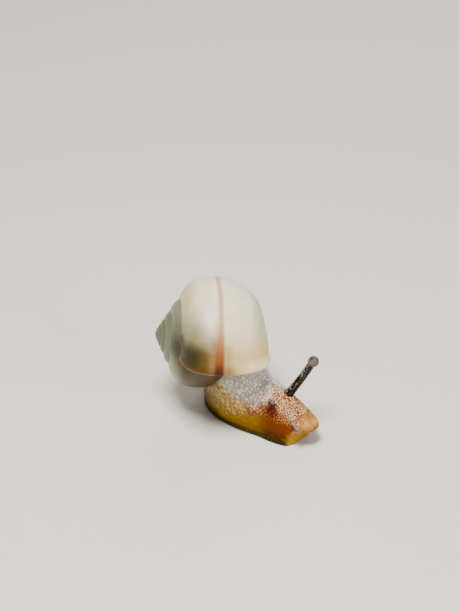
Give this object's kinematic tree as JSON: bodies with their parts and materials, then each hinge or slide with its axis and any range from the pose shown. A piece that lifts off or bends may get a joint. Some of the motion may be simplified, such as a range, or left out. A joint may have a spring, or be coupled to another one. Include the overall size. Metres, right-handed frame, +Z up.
{
  "type": "garden snail",
  "caption": "Crawling garden snail with a pale, one-banded, right-handed shell, head turned left, one eye stalk raised and one drawn in.",
  "frame": {"origin": "on the floor, under the middle of the snail's bounding box", "axes": "+Z up; the trunk lies along Y with the tail towards +Y; the head is turned to the snail's left, towards +X and -Y; the shell's point is towards -X"},
  "size_m": [0.0176, 0.0246, 0.0152],
  "materials": {
    "shell": "thin, slightly translucent cream snail shell with a satin gloss, fine growth lines and one narrow chestnut band",
    "skin": "moist snail skin: grey-brown granules over translucent amber, orange on the head, olive at the foot's edge",
    "eye": "glossy black eye spot"
  },
  "bodies": {
    "root": {"shell": "shell", "mantle": "skin", "trunk": "skin", "rear_body": "skin", "tail": "skin", "neck": "skin", "head": "skin", "lip_left": "skin", "lip_right": "skin", "foot_front": "skin", "foot_middle": "skin", "lower_tentacle_left": "skin", "lower_tentacle_right": "skin", "eye_stalk_left": "skin", "eye_stalk_right": "skin", "eye_knob_left": "skin", "eye_left": "eye"}
  },
  "joints": []
}
